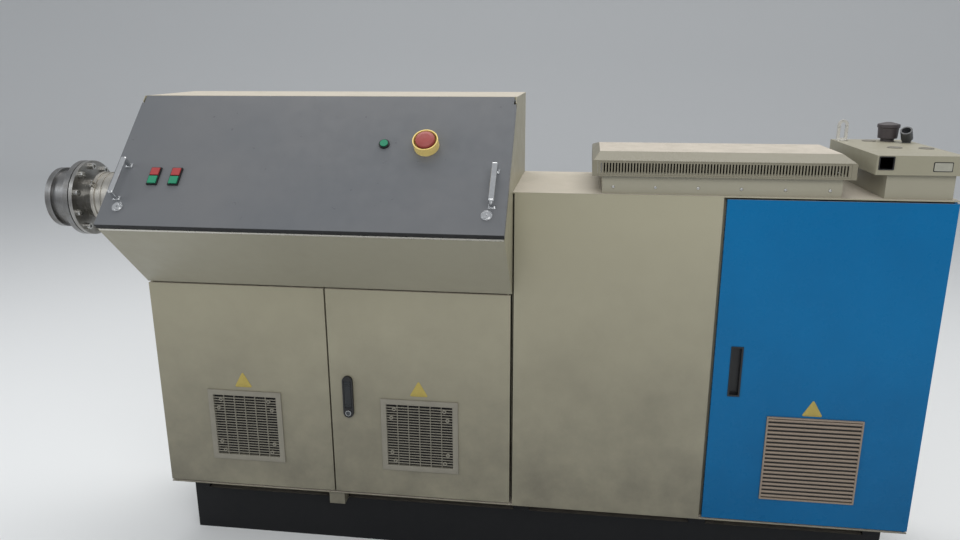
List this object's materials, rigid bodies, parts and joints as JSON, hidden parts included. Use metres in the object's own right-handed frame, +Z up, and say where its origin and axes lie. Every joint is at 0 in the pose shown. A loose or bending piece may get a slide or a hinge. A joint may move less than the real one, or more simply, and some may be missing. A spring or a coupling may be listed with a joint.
{
  "type": "plastic extruder",
  "caption": "Single-screw plastic extruder in a long sheet-metal cabinet, with a sloped control console over hinged doors, a flanged barrel outlet and a drive section with a vented hood.",
  "frame": {"origin": "on the floor, at the middle of the machine's outer box", "axes": "+X along the machine from the outlet to the drive end, +Y from the front with the doors to the back, +Z up"},
  "size_m": [2.693, 0.635, 1.427],
  "materials": {
    "base_black": "satin",
    "cream_sheet": "satin",
    "shade_sheet": "satin",
    "dark_panel": "satin",
    "blue_door": "gloss",
    "galvanised": "satin",
    "barrel_steel": "machined",
    "band_metal": "satin",
    "black_steel": "satin",
    "cast_grey": "painted",
    "motor_grey": "painted",
    "chrome": "polished",
    "grille_light": "matte",
    "louvre_metal": "satin",
    "black_plastic": "matte",
    "yellow_plastic": "gloss",
    "red_plastic": "gloss",
    "green_plastic": "gloss"
  },
  "bodies": {
    "frame": {"front_beam": "base_black", "rear_beam": "base_black", "cross_members": "base_black", "floor_posts": "base_black", "seam_foot": "cream_sheet", "floor_pan": "cream_sheet", "left_side": "cream_sheet", "bulkhead": "cream_sheet", "frame_posts": "cream_sheet", "left_back": "cream_sheet", "bench": "shade_sheet", "nose_panel": "shade_sheet", "console_top": "cream_sheet", "mounting_plate": "galvanised", "fixed_panel": "cream_sheet", "right_back": "cream_sheet", "right_end": "cream_sheet", "top_panel": "cream_sheet", "barrel": "barrel_steel", "heater_bands": "band_metal", "adapter": "barrel_steel", "flange_screws": "black_steel", "barrel_saddle": "dark_panel", "drive_bed": "dark_panel", "gearbox": "cast_grey", "motor": "motor_grey", "hood_plinth": "shade_sheet", "hood": "cream_sheet", "hood_grilles": "cream_sheet", "box_body": "shade_sheet", "box_lid": "cream_sheet", "breather": "black_plastic", "lifting_eye": "chrome", "vent_stub": "dark_panel"},
    "door_a": {"door_a": "cream_sheet", "filter_a": "grille_light"},
    "door_b": {"door_b": "cream_sheet", "filter_b": "grille_light", "plane_lock": "black_plastic"},
    "drive_door": {"drive_door": "blue_door", "louvre": "louvre_metal", "grip": "black_plastic"},
    "cover": {"cover": "dark_panel", "bow_handles": "chrome", "turn_locks": "chrome", "stop_collar": "yellow_plastic", "button_bezels": "black_plastic"},
    "stop_knob": {"stop_knob": "red_plastic"},
    "round_button": {"round_button": "green_plastic"},
    "red_cap_1": {"red_cap_1": "red_plastic"},
    "green_cap_1": {"green_cap_1": "green_plastic"},
    "red_cap_2": {"red_cap_2": "red_plastic"},
    "green_cap_2": {"green_cap_2": "green_plastic"}
  },
  "joints": [
    {"name": "door_a_hinge", "type": "hinge", "parent": "frame", "child": "door_a", "pos_m": [-0.9155, -0.0845, 0.54], "axis": [0, 0, -1], "range_deg": [0, 110]},
    {"name": "door_b_hinge", "type": "hinge", "parent": "frame", "child": "door_b", "pos_m": [0.179, -0.0845, 0.54], "axis": [0, 0, 1], "range_deg": [0, 110]},
    {"name": "drive_door_hinge", "type": "hinge", "parent": "frame", "child": "drive_door", "pos_m": [1.3385, -0.0845, 0.68], "axis": [0, 0, 1], "range_deg": [0, 110]},
    {"name": "cover_hinge", "type": "hinge", "parent": "frame", "child": "cover", "pos_m": [-0.366, 0.00748, 1.41569], "axis": [-1, 0, 0], "range_deg": [0, 75]},
    {"name": "stop_press", "type": "slide", "parent": "cover", "child": "stop_knob", "axis": [0, 0.706, -0.7082], "range_m": [0, 0.005], "stiffness_N_per_m": 2500, "springref_m": -0.002},
    {"name": "round_button_press", "type": "slide", "parent": "cover", "child": "round_button", "axis": [0, 0.706, -0.7082], "range_m": [0, 0.003], "stiffness_N_per_m": 1000, "springref_m": -0.002},
    {"name": "red_cap_1_press", "type": "slide", "parent": "cover", "child": "red_cap_1", "axis": [0, 0.706, -0.7082], "range_m": [0, 0.003], "stiffness_N_per_m": 1000, "springref_m": -0.002},
    {"name": "green_cap_1_press", "type": "slide", "parent": "cover", "child": "green_cap_1", "axis": [0, 0.706, -0.7082], "range_m": [0, 0.003], "stiffness_N_per_m": 1000, "springref_m": -0.002},
    {"name": "red_cap_2_press", "type": "slide", "parent": "cover", "child": "red_cap_2", "axis": [0, 0.706, -0.7082], "range_m": [0, 0.003], "stiffness_N_per_m": 1000, "springref_m": -0.002},
    {"name": "green_cap_2_press", "type": "slide", "parent": "cover", "child": "green_cap_2", "axis": [0, 0.706, -0.7082], "range_m": [0, 0.003], "stiffness_N_per_m": 1000, "springref_m": -0.002}
  ]
}
